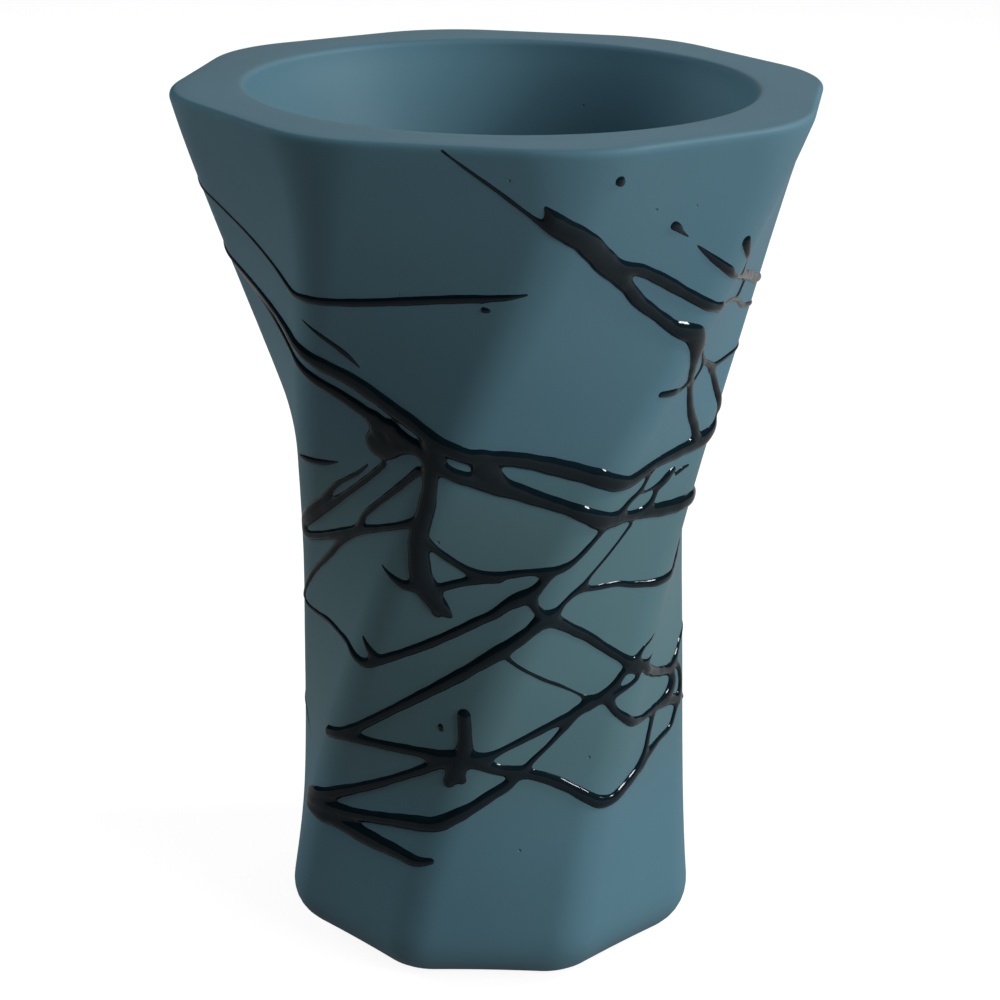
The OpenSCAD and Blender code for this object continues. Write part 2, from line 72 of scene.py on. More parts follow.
# Enamel: the net of points it is drawn on, and how it stands and runs together, in millimetres
NET_COLUMNS = 1350
NET_ROW = 0.16
NET_TILE = 30
ROUTE_STEP = 0.3
ENAMEL_RISE = 0.62
NARROW_RISE = 0.54
RUN_TOGETHER = 0.3
RUN_MARGIN = 1.4
SWELL = 0.025
EDGE_SLOPE = 2.0
EDGE_DIP = 0.35
ROOT_DEPTH = 0.45
DOME_POWER = 0.62
LEAST_HALF_WIDTH = 0.16

# How far the lights stand from the middle of the vessel, in metres
LIGHT_DISTANCE = 0.9

# Trail routes, each point a bearing around the axis (front 0, right positive), a height and a width
TRAILS = {
    "waist_band": [
        [[-98, 101.5, 0.8], [-85, 98.3, 0.9], [-76, 95.8, 1.1], [-58.5, 92.1, 1.6], [-49.5, 89.8, 2.1],
         [-37, 86.8, 2.4], [-31, 84.9, 2.4], [-25.5, 83.1, 2.4], [-20, 81.5, 2.3], [-15, 79.9, 2.4],
         [-10, 78.7, 2.4], [-5, 77.8, 2.4], [5, 77.2, 2.4], [15, 75.9, 2.6], [25, 74.3, 2.7],
         [30, 73.2, 2.6], [33.5, 72.6, 2.5], [37.5, 72.4, 2.2], [44, 73.1, 1.9], [50, 73.6, 1.8],
         [61, 73.8, 2.1], [71, 74.1, 2.4], [82, 75, 2], [105, 77, 1.6], [135, 82, 1.4], [170, 86, 1.6],
         [205, 90, 1.3], [235, 96.5, 1], [262, 101.5, 0.8]]
    ],
    "lower_waist_band": [
        [[-80, 96, 0.6], [-72, 93.9, 0.9], [-60, 90.2, 1], [-53, 88, 1.2], [-48, 86.3, 1.6],
         [-40, 83.9, 1.9], [-34.5, 82.2, 2], [-30, 80.9, 2.1], [-25, 79.6, 2.1], [-20, 78.3, 2],
         [-15, 76.6, 2], [-10, 75.2, 2.1], [-5, 74.2, 2.3], [5, 72.6, 2.7], [10, 71.6, 2.3], [20, 69.8, 2.1],
         [25, 68.6, 2.4], [29.5, 67.5, 2.8], [35, 67, 2.3], [40, 66.7, 1.7], [46, 66.5, 1.7],
         [56, 65.9, 2.2], [64, 65.7, 2.2], [76, 65.5, 1.9], [90, 65, 1.4], [115, 63, 1.2],
         [145, 60, 1], [175, 62, 0.6]],
        [[-31.8, 77.6, 3.8], [-29.5, 77.4, 3.6], [-25, 77.9, 2.4], [-20, 78.4, 1.6]],
        [[-31.5, 81.3, 2.2], [-30, 77.8, 3.5]],
        [[-27, 80.4, 2.2], [-26, 78.4, 2.4]],
        [[-15.2, 79, 2.8], [-15, 76.6, 3]],
        [[-3.6, 77.7, 2.6], [-2.2, 75.6, 3.2], [1.2, 73.3, 2.8]],
        [[35, 67, 1.4], [39, 68.9, 1.1], [43.2, 70, 0.9], [45, 71.2, 0.8], [47, 73.2, 0.8]],
        [[46, 66.5, 1.3], [49.8, 67.8, 1.1], [51.2, 69.2, 1.1], [53.1, 69.9, 1.4], [55.7, 70.7, 1.5],
         [58, 71.3, 0.9]],
        [[43.2, 70, 0.4], [46, 69.6, 0.5], [51.2, 69.9, 0.7]],
        [[59.6, 70.4, 0.6], [62, 70.8, 0.8], [65, 71, 0.5]]
    ],
    "post_drip": [
        [[-16, 76, 2], [-16.5, 73.2, 2.2], [-17.8, 70, 2.4], [-19.2, 67.6, 2.4], [-20.7, 65, 2.8],
         [-20.9, 62, 2.9], [-20.7, 59.6, 3.2], [-19.3, 57.5, 3], [-17, 55.8, 2.6], [-14.6, 54.6, 1.8],
         [-12.9, 53.9, 0.8]],
        [[-20, 58.4, 2.2], [-25, 58, 1.6], [-29, 58.8, 1], [-33, 60.2, 0.4]]
    ],
    "left_net": [
        [[-70.8, 60.4, 1.1], [-69.5, 61.7, 1.4], [-65, 63.5, 1.4], [-60, 65.3, 1.2], [-55, 67.2, 1],
         [-49.5, 69.6, 0.8], [-40.5, 72.4, 0.6], [-36, 74.2, 0.4]],
        [[-71.6, 59.6, 1.1], [-70, 61, 1.3], [-64, 62.8, 1.4], [-56, 65.4, 1.3], [-50.5, 67.2, 1.1],
         [-43.5, 69.6, 0.9], [-36.5, 72.2, 0.9], [-30.5, 74.8, 0.9]],
        [[-63, 71.9, 0.8], [-58, 72.2, 1.1], [-52, 72.6, 1], [-46, 73.4, 0.3]],
        [[-71.6, 59.6, 1.1], [-69, 59.3, 1.3], [-58, 61, 1.4], [-50, 62.5, 1.4], [-43.3, 63.7, 1.3],
         [-32, 65.6, 1.1], [-26, 66.7, 1.1], [-21, 67.8, 1.3]],
        [[-83, 47.8, 0.7], [-77.4, 50.5, 0.9], [-70, 53.8, 0.9], [-59.4, 57.8, 1], [-53.3, 60.3, 1],
         [-48, 62.2, 1], [-43, 64.1, 1], [-39.5, 66.5, 0.9], [-34, 68.8, 0.9], [-27, 71.7, 1],
         [-23, 73.5, 1.1], [-19.5, 75.2, 1.2]]
    ],
    "upper_rising_trail": [
        [[-18, 64.8, 1.2], [-15, 63.3, 1.1], [-10.3, 61.6, 1.1], [-6, 60.6, 1.2], [0, 60.1, 1.3],
         [5, 60.5, 1.2], [10, 60.9, 1.1], [15, 61, 1.3], [18.3, 61.3, 1.3], [21.5, 62, 1.1],
         [24.5, 63.2, 1], [28, 64.8, 1], [31, 66.2, 1]],
        [[-17, 57.6, 1.4], [-14.5, 58.2, 1.3], [-10, 58.9, 1.3], [-5.5, 59.4, 1.4], [1, 59.8, 1.2]],
        [[-82, 47.7, 0.6], [-78, 47.1, 0.8], [-72, 47.1, 0.9], [-63, 47.4, 1], [-55.5, 47.1, 1],
         [-48.5, 46.6, 1.1], [-44, 45.5, 1.3], [-40, 45.1, 1.5], [-35.5, 45.9, 1.5], [-30, 47.1, 1.4],
         [-20, 49.4, 1.4], [-10, 52, 1.4], [-5, 53.4, 1.4], [0, 54.7, 1.5], [4, 56.2, 1.7],
         [7.5, 57.2, 2], [11, 58.2, 1.7], [13.2, 59.3, 1.4], [15, 60.5, 1.3]],
        [[-40.8, 48.9, 0.4], [-39, 47.7, 1], [-36.5, 46.5, 1.3]]
    ],
    "lower_rising_trail": [
        [[-56, 32.4, 1.8], [-50, 33.2, 1.6], [-45, 34.5, 1.6], [-40, 36.1, 1.4], [-30, 39.3, 1.4],
         [-20, 42.4, 1.6], [-10, 45.5, 1.8], [-5, 47.2, 1.8], [0, 48.9, 2], [5, 50.6, 2],
         [10, 52.4, 1.9], [13, 53.6, 2.2], [16, 54.2, 2.2], [18.5, 55.2, 1.3], [20, 56, 1],
         [22.7, 57, 1.1], [26, 57.8, 1.1], [28.5, 59.2, 0.7], [34, 61.5, 0.6], [38, 63.3, 0.6],
         [42, 65.2, 0.7]],
        [[10.5, 57, 1.5], [11.8, 55.8, 1.1], [14, 54.7, 1.4]],
        [[26, 57.6, 1], [29.7, 57.2, 0.9], [34.6, 57, 0.9], [39.8, 56.8, 0.9], [44.7, 56.2, 1],
         [49.5, 55.8, 1.1], [54.3, 55.5, 1.3], [60, 55.3, 1.4], [66, 55.3, 1.4], [74, 55.8, 1.2],
         [84, 57, 0.9]],
        [[16, 54, 2.2], [19.5, 53, 1.8], [24.5, 51.5, 1.6], [29.8, 50, 1.5], [34.6, 48.3, 1.5],
         [39.6, 46.6, 1.4], [43, 45.4, 1.6], [46, 44.4, 1.6]],
        [[45, 44.8, 1.2], [48.8, 46.4, 0.8], [50.7, 46.8, 0.6], [53, 47.2, 0.5], [56, 47.9, 0.3]],
        [[46, 44.4, 1.4], [49.5, 44.2, 0.9], [52.8, 44.2, 0.6], [56.9, 44.6, 0.3]]
    ],
    "foot_zigzag": [
        [[-50.5, 33, 0.8], [-45, 33.2, 1.5], [-35, 33.3, 1.4], [-25, 33.6, 1.5], [-20, 33.7, 1.6],
         [-15, 33.7, 2], [-10, 34, 2], [-5, 34.1, 2], [0, 34.6, 1.3], [5, 35.6, 1.1], [15, 37.5, 1.2],
         [20, 38.4, 1.3], [25, 39.2, 1.4], [31, 40.7, 1.5]],
        [[-66, 21.4, 1.6], [-60, 22.2, 2], [-54, 23.3, 1.9], [-50, 24.3, 1.8], [-45, 25.4, 1.6],
         [-35, 27.7, 1.4], [-25, 30.2, 1.3], [-20, 31.5, 1.5], [-15, 33, 1.7], [-12, 33.9, 1.8]],
        [[-66, 20.5, 1.8], [-60, 20.9, 2.3], [-50, 21.3, 2.2], [-40, 22, 1.8],
         [-30, 22.9, 2], [-20, 23.8, 2.2], [-15, 24.3, 2.3], [-10, 25.6, 2.1], [-5, 27, 1.9],
         [0, 28.6, 1.8], [5, 30, 1.6], [8, 31.6, 1.5]],
        [[-66, 19.6, 1.6], [-59, 19.5, 2.2], [-52.4, 19.6, 2.3], [-39.8, 19, 2.6], [-28.6, 18.7, 2.1],
         [-21, 18.4, 1.7], [-16.4, 18.8, 1]],
        [[-6, 34, 2], [1.6, 32.4, 1.6], [5, 32, 1.7], [10, 31.4, 1.6], [15, 30.7, 1.6],
         [20, 29.7, 1.7], [24.5, 28.5, 1.7], [29, 27.1, 1.8], [32, 26.3, 1.9], [36, 26, 1.9],
         [40.3, 26.4, 1.9], [46, 27.3, 1.8], [51, 28.2, 1.7], [56.5, 29.3, 1.4], [63, 30.2, 1.1],
         [70.2, 30.8, 1], [74, 32.3, 1], [77, 33.8, 1.1]],
        [[9, 31.5, 1.1], [12, 33.1, 0.9], [17, 35.1, 0.8], [20, 36.4, 0.9], [23, 37.7, 1], [26, 39.4, 1.1]]
    ],
    "side_loops": [
        [[46, 44.4, 1], [42, 44, 1.2], [39, 42.7, 1.2], [36, 41.7, 1.2], [33.5, 40.9, 1.5],
         [30, 40.2, 1.6]],
        [[46, 44.4, 0.9], [47.3, 43.7, 1], [46.7, 42.5, 0.9], [43.7, 41.9, 0.9], [40, 41.4, 1],
         [36, 40.7, 1.2]],
        [[36, 40.7, 1.3], [38, 38.9, 1.3], [41, 37.6, 1.4], [45.3, 36.2, 1.5], [51, 35.5, 1.3],
         [55.5, 35.4, 1.2], [61, 35.3, 1.2], [66, 35.3, 1.6], [70, 35.6, 2], [73, 36.4, 2.2],
         [74.5, 37.5, 2], [74, 39, 1.6]],
        [[46, 44.4, 1.1], [49.7, 43.8, 1.6], [53.5, 42.6, 1.7], [60.5, 40.9, 1.6], [68, 39.7, 1.5],
         [73.6, 39.1, 1.6], [77, 39.5, 1.4], [80, 40.5, 1.1], [83.5, 41.8, 0.8], [89, 42.6, 0.6],
         [100, 43, 0.8]],
        [[77, 39.5, 1.2], [80, 38.2, 1.2], [80.3, 36.3, 1.2], [79, 34.7, 1.2], [77, 33.8, 1.2]],
        [[64, 35.3, 1], [71, 34.8, 1.6], [77, 33.8, 1.4]],
        [[51, 28.2, 1.3], [54.6, 30.2, 1.2], [57, 32.5, 1.2], [60.2, 35.3, 1.2]]
    ],
    "hair_trail": [
        [[4.5, 48.5, 0.6], [8, 47.2, 0.6], [15, 45, 0.6], [20, 43.8, 0.6], [25, 42.5, 0.5],
         [29.5, 41.2, 0.5]]
    ],
    "cross_stroke": [
        [[-8.2, 40.1, 2], [-7.9, 38.6, 2], [-7.6, 36.5, 2.1], [-8, 34.8, 2.3], [-9.2, 33.2, 2.4],
         [-10.5, 31.8, 2.3], [-12, 30.6, 1.8]],
        [[-10, 31.8, 1.8], [-8.2, 31, 1.2]]
    ],
    "rim_fork_trail": [
        [[-9.5, 119.5, 0.5], [-5, 117, 0.6], [0, 114.4, 0.7], [5, 111.7, 0.7], [8.5, 110, 1],
         [15, 108, 1]],
        [[7.3, 113, 0.4], [8.3, 112, 1.4], [10, 110.4, 2.8], [15, 108, 3.2], [20, 104.8, 3],
         [23, 103.6, 2.6], [27.5, 103.2, 1.8], [30, 102.6, 1.8], [35, 101, 1.8], [40.5, 99, 1.7],
         [47.5, 96.6, 1.6], [52.5, 95.7, 1.4]],
        [[20, 104.8, 2.8], [24, 102.4, 2.4], [26.5, 100.8, 2], [30, 98.6, 1.9], [34, 96.8, 1.8],
         [37, 95.5, 1.8], [40, 94.2, 2], [45.5, 92.7, 3.1], [48.5, 90.5, 3.1], [50, 88.6, 2.4],
         [51.5, 86.8, 1.8], [53.5, 84.9, 1.4], [60.1, 79.7, 1.6], [64.6, 76.9, 1.8], [67.4, 74.4, 1.6]],
        [[39.9, 84.9, 0.9], [44, 84.6, 1.2], [48.8, 84.3, 0.9], [53.5, 84.9, 0.8]],
        [[45.5, 92.7, 0.9], [53.5, 89.5, 0.7], [58, 87.2, 0.7], [66, 85, 1.2], [71, 82.5, 1.4],
         [78, 78, 1.4], [84, 75.2, 1.2]],
        [[58, 87.2, 0.7], [58.5, 86, 0.8], [56.5, 84.6, 0.7]],
        [[66.5, 84.8, 1], [72.1, 84.8, 0.9], [79.5, 85, 0.8], [90, 85.5, 0.7], [100, 86.5, 0.5]]
    ],
    "rim_side_drips": [
        [[34, 108.6, 1.3], [35, 108.2, 1.2], [36.5, 107.4, 0.6], [38.2, 106.7, 0.4]],
        [[40, 105.7, 0.3], [44, 103.8, 0.9], [47.8, 102.1, 1.3], [51, 100.8, 1.3], [53, 100, 0.9],
         [58, 99, 0.7], [62.1, 98.5, 1], [67, 97.8, 1.4], [78.4, 96, 1.6], [86.5, 94.4, 1.4], [100, 93, 1]],
        [[52.6, 104.8, 1.6], [55, 103, 1.2], [58.3, 101.4, 0.6], [61, 99.7, 0.6], [62.1, 98.5, 0.8]],
        [[52.5, 95.7, 1], [61.5, 95.1, 0.8], [69.4, 94.1, 0.8], [80.5, 91.5, 0.9], [98, 90, 0.6]],
        [[70, 97.4, 0.8], [69.3, 95.2, 0.9], [68.2, 94.3, 0.8]]
    ],
    "shoulder_trail": [
        [[-112, 113, 0.5], [-95, 110.5, 0.6], [-78, 107.2, 0.7], [-70, 105, 0.7], [-60, 102.3, 0.8],
         [-52, 99.8, 0.9], [-47, 98, 1.1], [-43, 97.5, 1.2], [-30, 98, 1.3], [-10, 99.7, 1.3],
         [0, 100.5, 1], [5.5, 101.2, 0.4]],
        [[-44.5, 94.3, 0.4], [-40, 92.5, 0.8], [-35.5, 90.3, 0.9], [-32.7, 88.5, 0.4]]
    ],
    "back_upper_web": [
        [[100, 93, 1], [112, 98, 1.1], [124, 102.5, 1.3], [140, 103, 1.4], [158, 96, 1.2], [176, 87, 1.2]],
        [[140, 103, 1], [165, 107, 0.9], [190, 112, 0.5]],
        [[215, 110, 0.6], [222, 102, 1.2], [228, 94.5, 1]]
    ],
    "back_middle_web": [
        [[100, 43, 0.8], [112, 46.5, 1.1], [130, 53, 1.1], [146, 60, 1]],
        [[182, 87, 1.2], [192, 74, 1.4], [204, 63, 1.4], [226, 55, 1.2], [248, 52, 0.9], [262, 50.5, 0.5]],
        [[204, 63, 1.2], [230, 64, 1], [252, 60.5, 0.9], [266, 58.6, 0.5]],
        [[130, 53, 0.9], [160, 46, 1.1], [196, 42, 1.2], [234, 44, 1], [258, 46.5, 0.5]]
    ],
    "back_foot_web": [
        [[79, 34.7, 0.8], [87, 32, 0.7], [104, 30, 1.2], [130, 23, 1.6], [158, 21, 1.8],
         [190, 26, 1.6], [207.5, 23.8, 1.7], [222, 22, 1.6], [240, 21, 0.8]],
        [[130, 24, 1], [152, 33, 1.1], [176, 44, 1]],
        [[222, 22, 1.1], [236, 33, 1.2], [246, 45, 1]],
        [[236, 33, 0.9], [250, 31.4, 0.7], [263.5, 29.6, 0.6], [272.4, 27.4, 0.5], [284, 26.4, 0.3]]
    ],
    "drops": [
        [[19.6, 115.8, 1.4], [20.1, 115.4, 1]],
        [[-2.8, 98.7, 0.9], [-1.8, 98.7, 0.7]],
        [[-15.4, 38, 0.9], [-15, 37.5, 0.7]],
        [[-17.5, 54.1, 0.6], [-16.8, 53.8, 0.5]],
        [[150, 112, 1.2], [150.5, 111.5, 0.9]],
        [[200, 100, 1], [201, 99.5, 0.8]],
        [[170, 12, 0.9], [171, 12, 0.7]]
    ],
}

HALF_SIDE = math.pi / SIDES


def flat_r(z):
    """Half width across the flats at a height."""
    rise = np.maximum(0, z - WAIST_H) / (BODY_H - WAIST_H)
    fall = np.maximum(0, WAIST_H - z) / WAIST_H
    return np.sqrt(
        WAIST_R ** 2
        + (MOUTH_R ** 2 - WAIST_R ** 2) * rise ** 2
        + (BASE_R ** 2 - WAIST_R ** 2) * fall ** 2
    )


def turn(z):
    """Angle of an upright edge at a height."""
    share = z / BODY_H
    eased = 3 * share ** 2 - 2 * share ** 3
    return np.radians(MOUTH_TURN - TWIST * (1 - (1 - TWIST_EASE) * share - TWIST_EASE * eased))


def drawn_in(z):
    """How far the rounded edges of the foot and the rim draw the wall in."""
    foot = FOOT_R - np.sqrt(np.maximum(0, FOOT_R ** 2 - np.maximum(0, FOOT_R - z) ** 2))
    rim = RIM_R - np.sqrt(np.maximum(0, RIM_R ** 2 - np.maximum(0, z - BODY_H + RIM_R) ** 2))
    return foot + rim


def edge_r(z):
    """Radius of the upright edges: even up the wall, and rubbed down softer just under the mouth."""
    return WALL_EDGE_R + (MOUTH_EDGE_R - WALL_EDGE_R) * (z / BODY_H) ** 16


def reach(angle, z):
    """Distance from the axis to the outer wall."""
    from_edge = angle - turn(z)
    from_edge = np.abs(from_edge - 2 * HALF_SIDE * np.round(from_edge / (2 * HALF_SIDE)))
    r = flat_r(z)
    edge = edge_r(z)
    core = (r - edge) / math.cos(HALF_SIDE)
    edge_half = np.arctan2(edge * math.sin(HALF_SIDE), core + edge * math.cos(HALF_SIDE))
    on_flat = r / np.cos(HALF_SIDE - from_edge)
    across = np.maximum(0, edge ** 2 - (core * np.sin(from_edge)) ** 2)
    on_edge = core * np.cos(from_edge) + np.sqrt(across)
    return np.where(from_edge > edge_half, on_flat, on_edge) - drawn_in(z)


def on_wall(angle, z):
    r = reach(angle, z)
    return np.stack([r * np.cos(angle), r * np.sin(angle), z + 0 * r], -1)


def bore_r(z):
    return flat_r(max(z, WAIST_H)) - WALL_T - max(0, WAIST_H - z) * math.tan(math.radians(BORE_DRAFT))


def steps(count, first=0):
    """Shares of a stretch of the profile, from 0 or just after it up to 1."""
    return [i / count for i in range(first, count + 1)]


def body_profile():
    """Radius, height and share of the eight-sided form, from under the foot over the rim to the floor."""
    outer = [FOOT_R * (1 - math.cos(math.pi / 2 * s)) for s in steps(FOOT_STEPS)]
    outer += [FOOT_R + (BODY_H - RIM_R - FOOT_R) * s for s in steps(WALL_STEPS, 1)]
    outer += [BODY_H - RIM_R * (1 - math.sin(math.pi / 2 * s)) for s in steps(RIM_STEPS, 1)]
    wall = [(float(flat_r(z) - drawn_in(z)), z, 1) for z in outer]
    foot = [(wall[0][0] * s, 0, s) for s in steps(FLAT_STEPS)[:-1]]
    lip_z = BODY_H - BORE_EDGE_R
    lip_r = float(bore_r(lip_z))
    rim_out = wall[-1][0]
    rim_in = lip_r + BORE_EDGE_R
    rim = [(rim_out + (rim_in - rim_out) * s, BODY_H, 1 - s) for s in steps(FLAT_STEPS, 1)]
    lip = []
    for s in steps(RIM_STEPS, 1):
        a = math.pi / 2 * (1 - s)
        lip.append((lip_r + BORE_EDGE_R * (1 - math.cos(a)), lip_z + BORE_EDGE_R * math.sin(a), 0))
    low = FLOOR_T + FLOOR_R
    bore = []
    for s in steps(BORE_STEPS, 1):
        z = lip_z + (low - lip_z) * s
        bore.append((float(bore_r(z)), z, 0))
    floor_reach = float(bore_r(low))
    floor = []
    for s in steps(FOOT_STEPS, 1):
        a = math.pi / 2 * (1 - s)
        floor.append((floor_reach - FLOOR_R * (1 - math.sin(a)), FLOOR_T + FLOOR_R * (1 - math.cos(a)), 0))
    middle = [(floor[-1][0] * (1 - s), FLOOR_T, 0) for s in steps(FLAT_STEPS, 1)]
    return foot + wall + rim + lip + bore + floor + middle


def add_piece(name, bm, material, nodes):
    """Hands a finished bmesh over as a piece that stands for its nodes."""
    mesh = bpy.data.meshes.new(name)
    bm.to_mesh(mesh)
    bm.free()
    mesh.materials.append(material)
    piece = bpy.data.objects.new(name, mesh)
    bpy.context.scene.collection.objects.link(piece)
    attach(piece, "root")
    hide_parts(*nodes)
    return piece


def cast_body(material):
    """The vessel: its profile turned full circle, then pressed into the twisted eight-sided form."""
    profile = body_profile()
    bm = bmesh.new()
    verts = [bm.verts.new((r * MM, 0, z * MM)) for r, z, share in profile]
    edges = [bm.edges.new(pair) for pair in zip(verts, verts[1:])]
    bmesh.ops.spin(
        bm, geom=verts + edges, cent=(0, 0, 0), axis=(0, 0, 1),
        angle=2 * math.pi, steps=RING_STEPS, use_merge=True,
    )
    rows = np.array(profile)
    co = np.array([v.co for v in bm.verts]) / MM
    radius = np.hypot(co[:, 0], co[:, 1])
    row = [int(np.argmin((rows[:, 0] - r) ** 2 + (rows[:, 1] - z) ** 2)) for r, z in zip(radius, co[:, 2])]
    share, z = rows[row, 2], rows[row, 1]
    angle = np.arctan2(co[:, 1], co[:, 0]) + np.where(share > 0, turn(z), turn(BODY_H))
    pressed = radius + share * (reach(angle, z) - flat_r(z) + drawn_in(z))
    for v, r, a in zip(bm.verts, pressed * MM, angle):
        v.co.x = r * math.cos(a)
        v.co.y = r * math.sin(a)
    bmesh.ops.remove_doubles(bm, verts=bm.verts[:], dist=0.001 * MM)
    bmesh.ops.recalc_face_normals(bm, faces=bm.faces[:])
    for face in bm.faces:
        face.smooth = True
    return add_piece("cast_body", bm, material, ["body"])


def route(run):
    """Points and widths along a smooth route through a run's points."""
    p = np.array(run, float)
    p = np.vstack([p[0], p, p[-1]])
    parts = []
    for a, b, c, d in zip(p, p[1:], p[2:], p[3:]):
        ends = on_wall(np.radians(np.array([b[0], c[0]]) - 90), np.array([b[1], c[1]]))
        count = max(1, math.ceil(np.linalg.norm(ends[1] - ends[0]) / ROUTE_STEP))
        t = (np.arange(count) / count)[:, None]
        parts.append((
            2 * b + (c - a) * t + (2 * a - 5 * b + 4 * c - d) * t ** 2
            + (3 * b - a - 3 * c + d) * t ** 3
        ) / 2)
    return np.vstack(parts + [p[-1:]])


def unit(v):
    return v / np.linalg.norm(v, axis=-1, keepdims=True)


def outward(points):
    """Directions square to a net of points that closes round the axis."""
    round_it = np.roll(points, -1, 1) - np.roll(points, 1, 1)
    up_it = np.gradient(points, axis=0)
    return unit(np.cross(round_it, up_it))


def run_depth(run, phase, wall):
    """How deep the points of the net lie inside a run, its half width there, and the window it touches."""
    path = route(run)
    spots = on_wall(np.radians(path[:, 0] - 90), path[:, 1])
    length = np.concatenate([[0], np.cumsum(np.linalg.norm(np.diff(spots, axis=0), axis=1))])
    swell = 1 + SWELL * (np.sin(length * 0.9 + phase) + np.sin(length * 1.9 + 2 * phase))
    half = np.maximum(path[:, 2] / 2, LEAST_HALF_WIDTH) * swell
    margin = half.max() + RUN_MARGIN
    turn_margin = math.degrees(margin / np.hypot(spots[:, 0], spots[:, 1]).min())
    per_degree = NET_COLUMNS / 360
    first_row = max(0, math.floor((path[:, 1].min() - margin) / NET_ROW))
    last_row = min(len(wall) - 1, math.ceil((path[:, 1].max() + margin) / NET_ROW))
    first = math.floor((path[:, 0].min() - turn_margin) * per_degree)
    last = math.ceil((path[:, 0].max() + turn_margin) * per_degree)
    columns = np.arange(first, min(last, first + NET_COLUMNS - 1) + 1)
    window = np.ix_(range(first_row, last_row + 1), columns % NET_COLUMNS)
    near = wall[window]
    deep = np.full(near.shape[:2], -9.0)
    half_at = np.zeros(near.shape[:2])
    for i in range(len(path) - 1):
        low, high = sorted(path[i:i + 2, 1])
        left, right = sorted(path[i:i + 2, 0])
        rows = slice(
            max(0, math.floor((low - margin) / NET_ROW) - first_row),
            math.ceil((high + margin) / NET_ROW) - first_row + 1,
        )
        across = slice(
            max(0, math.floor((left - turn_margin) * per_degree) - first),
            math.ceil((right + turn_margin) * per_degree) - first + 1,
        )
        apart = near[rows, across] - spots[i]
        step = spots[i + 1] - spots[i]
        share = np.clip(apart @ step / max(step @ step, 1e-9), 0, 1)
        width = half[i] + (half[i + 1] - half[i]) * share
        here = width - np.linalg.norm(apart - share[..., None] * step, axis=-1)
        closer = here > deep[rows, across]
        deep[rows, across] = np.where(closer, here, deep[rows, across])
        half_at[rows, across] = np.where(closer, width, half_at[rows, across])
    return deep, half_at, window


def smoothed(field):
    """A field on the net with each point drawn towards its neighbours."""
    field = (np.roll(field, 1, 1) + 2 * field + np.roll(field, -1, 1)) / 4
    field[1:-1] = (field[:-2] + 2 * field[1:-1] + field[2:]) / 4
    return field


def enamel_net():
    """The enamel's surface over the whole wall, and the trail that each point of it belongs to."""
    row_z = np.arange(0, BODY_H + NET_ROW / 2, NET_ROW)
    bearing = np.arange(NET_COLUMNS) * 360 / NET_COLUMNS
    wall = on_wall(np.radians(bearing - 90)[None, :], row_z[:, None])
    out = outward(wall)
    shape = wall.shape[:2]
    total, widths = np.zeros(shape), np.zeros(shape)
    best = np.full(shape, -9.0)
    owner = np.full(shape, -1)
    for order, runs in enumerate(TRAILS.values()):
        for number, run in enumerate(runs):
            deep, half_at, window = run_depth(run, order + number, wall)
            weight = np.where(deep > -RUN_MARGIN, np.exp(deep / RUN_TOGETHER), 0)
            total[window] += weight
            widths[window] += weight * half_at
            owner[window] = np.where(deep > best[window], order, owner[window])
            best[window] = np.maximum(best[window], deep)
    covered = total > 0
    depth = np.where(covered, RUN_TOGETHER * np.log(np.where(covered, total, 1)), -9)
    half = np.where(covered, widths / np.where(covered, total, 1), 1)
    dome = 1 - (np.clip(half - depth, 0, half) / half) ** 2
    rise = np.minimum(NARROW_RISE * half, ENAMEL_RISE) * dome ** DOME_POWER
    height = np.where(depth > 0, rise, -np.minimum(EDGE_SLOPE * -depth, EDGE_DIP))
    top = wall + out * smoothed(smoothed(height))[..., None]
    root = wall - out * ROOT_DEPTH
    return top, root, outward(top), depth, owner


def lay_trail(name, order, net, material):
    """One trail: the part of the enamel net that it owns, with a root inside the wall."""
    top, root, out, depth, owner = net
    deepest = np.maximum(depth, np.roll(depth, -1, 1))
    deepest = np.maximum(deepest[:-1], deepest[1:])
    keep = (deepest > 0) & (owner[:-1] == order)
    bm = bmesh.new()
    for row in range(0, keep.shape[0], NET_TILE):
        for column in range(0, NET_COLUMNS, NET_TILE):
            tall, wide = keep[row:row + NET_TILE, column:column + NET_TILE].shape
            if keep[row:row + NET_TILE, column:column + NET_TILE].any():
                middle = Matrix.Translation((column + wide / 2, row + tall / 2, 0))
                bmesh.ops.create_grid(
                    bm, x_segments=wide, y_segments=tall, size=0.5,
                    matrix=middle @ Matrix.Diagonal((wide, tall, 1, 1)),
                )
    centres = [face.calc_center_median() for face in bm.faces]
    spare = [face for face, c in zip(bm.faces, centres) if not keep[int(c.y), int(c.x)]]
    bmesh.ops.delete(bm, geom=spare, context="FACES")
    mark = bm.verts.layers.int.new("net_point")
    for v in bm.verts:
        v[mark] = round(v.co.y) * NET_COLUMNS + round(v.co.x) % NET_COLUMNS
        v.co = Vector(top[divmod(v[mark], NET_COLUMNS)]) * MM
    bmesh.ops.remove_doubles(bm, verts=bm.verts[:], dist=0.001 * MM)
    lifted = bmesh.ops.extrude_face_region(bm, geom=bm.faces[:], use_keep_orig=True)["geom"]
    for v in lifted:
        if isinstance(v, bmesh.types.BMVert):
            v.co = Vector(root[divmod(v[mark], NET_COLUMNS)]) * MM
            v[mark] = -1
    bmesh.ops.recalc_face_normals(bm, faces=bm.faces[:])
    for face in bm.faces:
        face.smooth = True
    facing = [out[divmod(v[mark], NET_COLUMNS)] if v[mark] >= 0 else (0, 0, 0) for v in bm.verts]
    piece = add_piece(name + "_enamel", bm, material, [name])
    piece.data.normals_split_custom_set_from_vertices(facing)
    return piece


